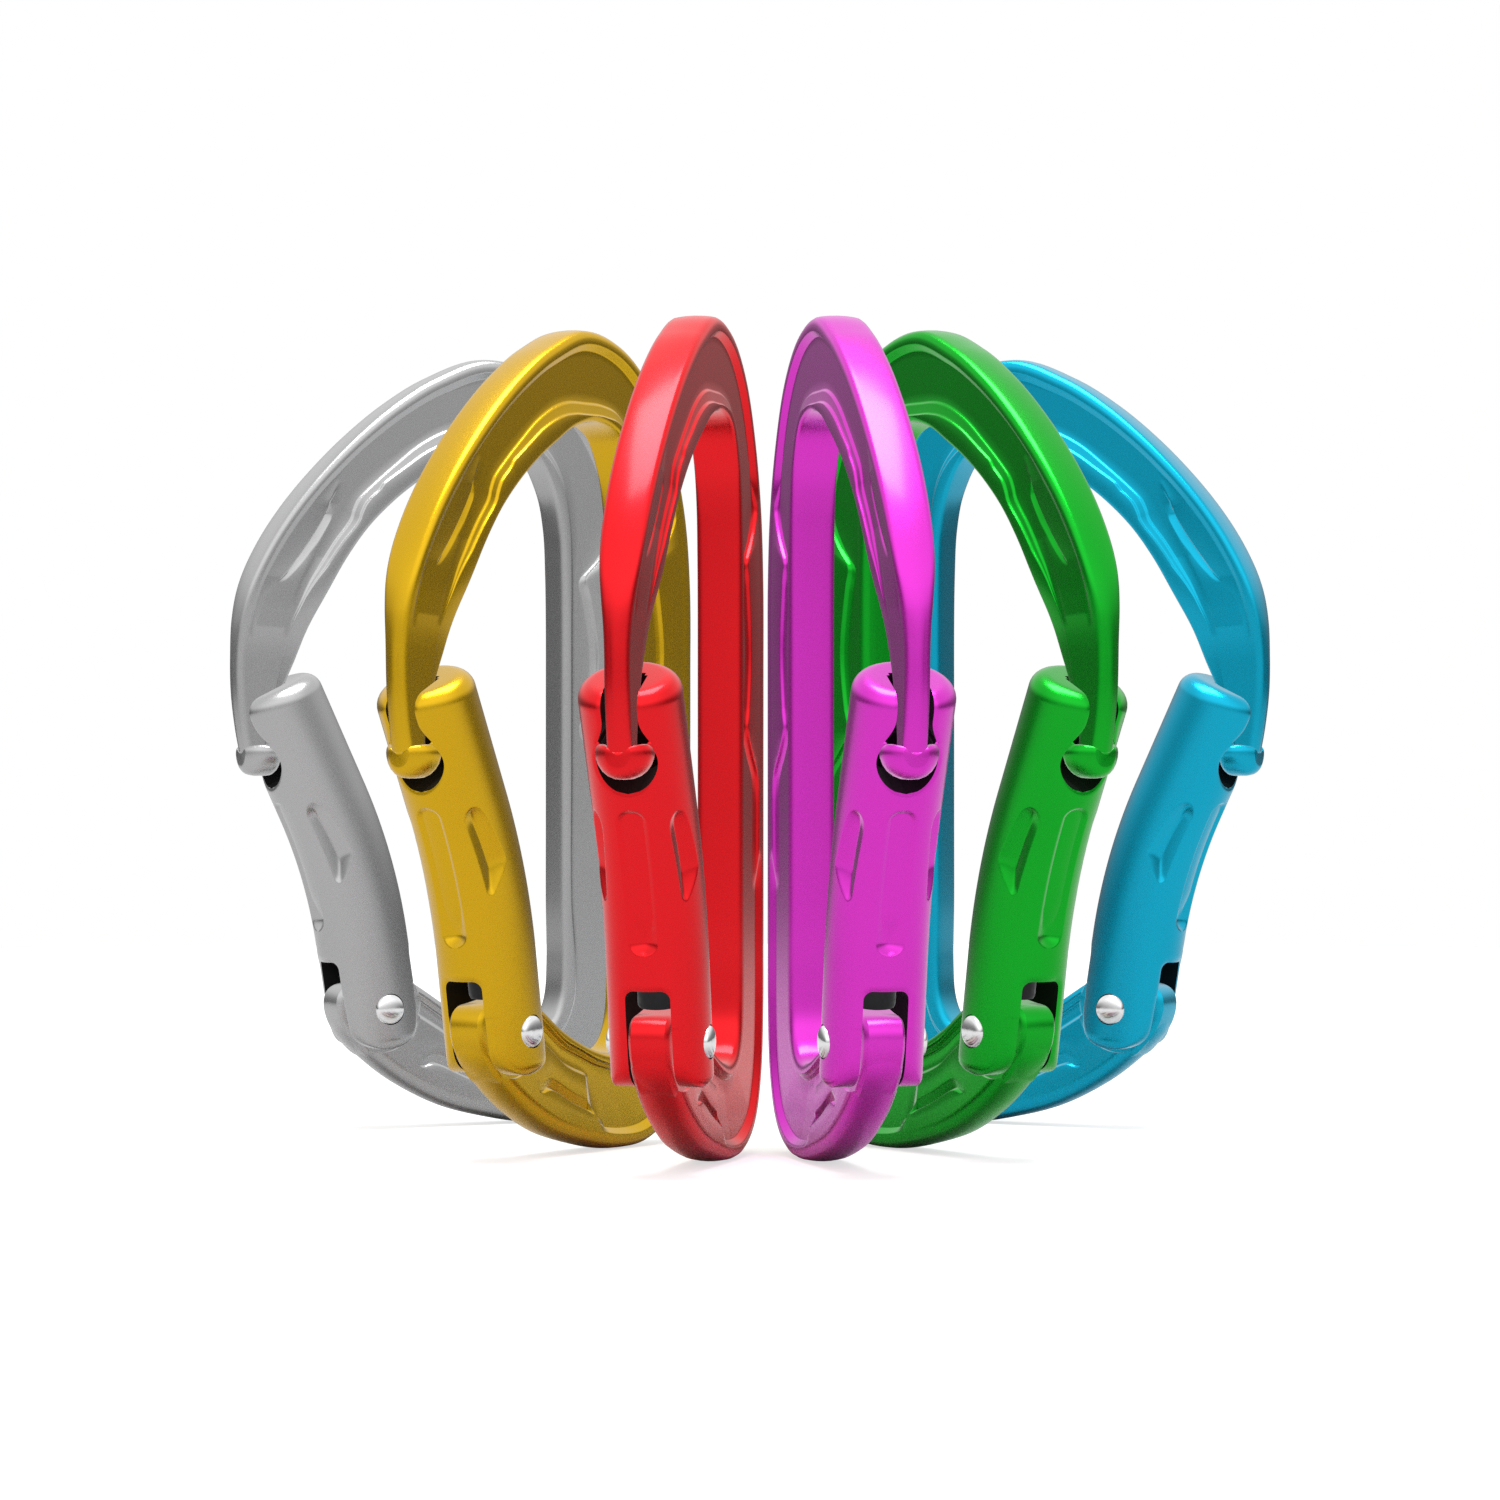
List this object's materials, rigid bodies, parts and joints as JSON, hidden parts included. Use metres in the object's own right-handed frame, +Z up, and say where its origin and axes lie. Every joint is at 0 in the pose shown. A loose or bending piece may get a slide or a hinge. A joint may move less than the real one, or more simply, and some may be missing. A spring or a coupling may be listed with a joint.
{
  "type": "bent-gate carabiner set",
  "caption": "Colour-coded bent-gate keylock carabiners standing in a fan; each gate is spring-loaded, pivots on a rivet and closes on a hooked nose.",
  "frame": {"origin": "on the standing surface, midway across the fan, halfway between its front and its back", "axes": "+Z up, +X to the right across the fan, +Y from the gates at the front towards the spines at the back"},
  "size_m": [0.1334, 0.1095, 0.1],
  "materials": {
    "silver_anodised": "polished and anodised in silver, with a satin web",
    "gold_anodised": "polished and anodised in gold, with a satin web",
    "red_anodised": "polished and anodised in red, with a satin web",
    "violet_anodised": "polished and anodised in violet, with a satin web",
    "green_anodised": "polished and anodised in green, with a satin web",
    "blue_anodised": "polished and anodised in blue, with a satin web",
    "rivet_steel": "polished, peened at both ends",
    "spring_steel": "drawn wire",
    "plunger_steel": "blackened"
  },
  "bodies": {
    "silver_carabiner": {"silver_frame": "silver_anodised"},
    "silver_gate_set": {"silver_gate": "silver_anodised", "silver_rivet": "rivet_steel", "silver_spring": "spring_steel"},
    "silver_plunger_set": {"silver_plunger": "plunger_steel"},
    "gold_carabiner": {"gold_frame": "gold_anodised"},
    "gold_gate_set": {"gold_gate": "gold_anodised", "gold_rivet": "rivet_steel", "gold_spring": "spring_steel"},
    "gold_plunger_set": {"gold_plunger": "plunger_steel"},
    "red_carabiner": {"red_frame": "red_anodised"},
    "red_gate_set": {"red_gate": "red_anodised", "red_rivet": "rivet_steel", "red_spring": "spring_steel"},
    "red_plunger_set": {"red_plunger": "plunger_steel"},
    "violet_carabiner": {"violet_frame": "violet_anodised"},
    "violet_gate_set": {"violet_gate": "violet_anodised", "violet_rivet": "rivet_steel", "violet_spring": "spring_steel"},
    "violet_plunger_set": {"violet_plunger": "plunger_steel"},
    "green_carabiner": {"green_frame": "green_anodised"},
    "green_gate_set": {"green_gate": "green_anodised", "green_rivet": "rivet_steel", "green_spring": "spring_steel"},
    "green_plunger_set": {"green_plunger": "plunger_steel"},
    "blue_carabiner": {"blue_frame": "blue_anodised"},
    "blue_gate_set": {"blue_gate": "blue_anodised", "blue_rivet": "rivet_steel", "blue_spring": "spring_steel"},
    "blue_plunger_set": {"blue_plunger": "plunger_steel"}
  },
  "joints": [
    {"name": "silver_lift", "type": "slide", "parent": "red_carabiner", "child": "silver_carabiner", "axis": [0, 0, 1], "range_m": [0, 0.12]},
    {"name": "silver_gate_hinge", "type": "hinge", "parent": "silver_carabiner", "child": "silver_gate_set", "pos_m": [-0.04893, 0.03367, 0.0157], "axis": [-0.497, 0.8678, 0], "range_deg": [0, 25], "stiffness_Nm_per_rad": 0.15, "springref_deg": -57.3},
    {"name": "silver_plunger_slide", "type": "slide", "parent": "silver_gate_set", "child": "silver_plunger_set", "axis": [-0.1507, -0.0863, 0.9848], "range_m": [0, 0.0012], "deforming": ["silver_spring"]},
    {"name": "gold_lift", "type": "slide", "parent": "red_carabiner", "child": "gold_carabiner", "axis": [0, 0, 1], "range_m": [0, 0.12]},
    {"name": "gold_gate_hinge", "type": "hinge", "parent": "gold_carabiner", "child": "gold_gate_set", "pos_m": [-0.03048, -0.01427, 0.0157], "axis": [-0.8348, 0.5505, 0], "range_deg": [0, 25], "stiffness_Nm_per_rad": 0.15, "springref_deg": -57.3},
    {"name": "gold_plunger_slide", "type": "slide", "parent": "gold_gate_set", "child": "gold_plunger_set", "axis": [-0.0956, -0.145, 0.9848], "range_m": [0, 0.0012], "deforming": ["gold_spring"]},
    {"name": "red_gate_hinge", "type": "hinge", "parent": "red_carabiner", "child": "red_gate_set", "pos_m": [-0.01017, -0.03536, 0.0157], "axis": [-0.9703, 0.2419, 0], "range_deg": [0, 25], "stiffness_Nm_per_rad": 0.15, "springref_deg": -57.3},
    {"name": "red_plunger_slide", "type": "slide", "parent": "red_gate_set", "child": "red_plunger_set", "axis": [-0.042, -0.1685, 0.9848], "range_m": [0, 0.0012], "deforming": ["red_spring"]},
    {"name": "violet_lift", "type": "slide", "parent": "red_carabiner", "child": "violet_carabiner", "axis": [0, 0, 1], "range_m": [0, 0.12]},
    {"name": "violet_gate_hinge", "type": "hinge", "parent": "violet_carabiner", "child": "violet_gate_set", "pos_m": [0.01397, -0.03536, 0.0157], "axis": [-0.9703, -0.2419, 0], "range_deg": [0, 25], "stiffness_Nm_per_rad": 0.15, "springref_deg": -57.3},
    {"name": "violet_plunger_slide", "type": "slide", "parent": "violet_gate_set", "child": "violet_plunger_set", "axis": [0.042, -0.1685, 0.9848], "range_m": [0, 0.0012], "deforming": ["violet_spring"]},
    {"name": "green_lift", "type": "slide", "parent": "red_carabiner", "child": "green_carabiner", "axis": [0, 0, 1], "range_m": [0, 0.12]},
    {"name": "green_gate_hinge", "type": "hinge", "parent": "green_carabiner", "child": "green_gate_set", "pos_m": [0.03098, -0.01427, 0.0157], "axis": [-0.8348, -0.5505, 0], "range_deg": [0, 25], "stiffness_Nm_per_rad": 0.15, "springref_deg": -57.3},
    {"name": "green_plunger_slide", "type": "slide", "parent": "green_gate_set", "child": "green_plunger_set", "axis": [0.0956, -0.145, 0.9848], "range_m": [0, 0.0012], "deforming": ["green_spring"]},
    {"name": "blue_lift", "type": "slide", "parent": "red_carabiner", "child": "blue_carabiner", "axis": [0, 0, 1], "range_m": [0, 0.12]},
    {"name": "blue_gate_hinge", "type": "hinge", "parent": "blue_carabiner", "child": "blue_gate_set", "pos_m": [0.04893, 0.03367, 0.0157], "axis": [-0.497, -0.8678, 0], "range_deg": [0, 25], "stiffness_Nm_per_rad": 0.15, "springref_deg": -57.3},
    {"name": "blue_plunger_slide", "type": "slide", "parent": "blue_gate_set", "child": "blue_plunger_set", "axis": [0.1507, -0.0863, 0.9848], "range_m": [0, 0.0012], "deforming": ["blue_spring"]}
  ],
  "couplings": [
    {"joint": "silver_plunger_slide", "follows": "silver_gate_hinge", "m_per_rad": 0.0025},
    {"joint": "gold_plunger_slide", "follows": "gold_gate_hinge", "m_per_rad": 0.0025},
    {"joint": "red_plunger_slide", "follows": "red_gate_hinge", "m_per_rad": 0.0025},
    {"joint": "violet_plunger_slide", "follows": "violet_gate_hinge", "m_per_rad": 0.0025},
    {"joint": "green_plunger_slide", "follows": "green_gate_hinge", "m_per_rad": 0.0025},
    {"joint": "blue_plunger_slide", "follows": "blue_gate_hinge", "m_per_rad": 0.0025}
  ]
}
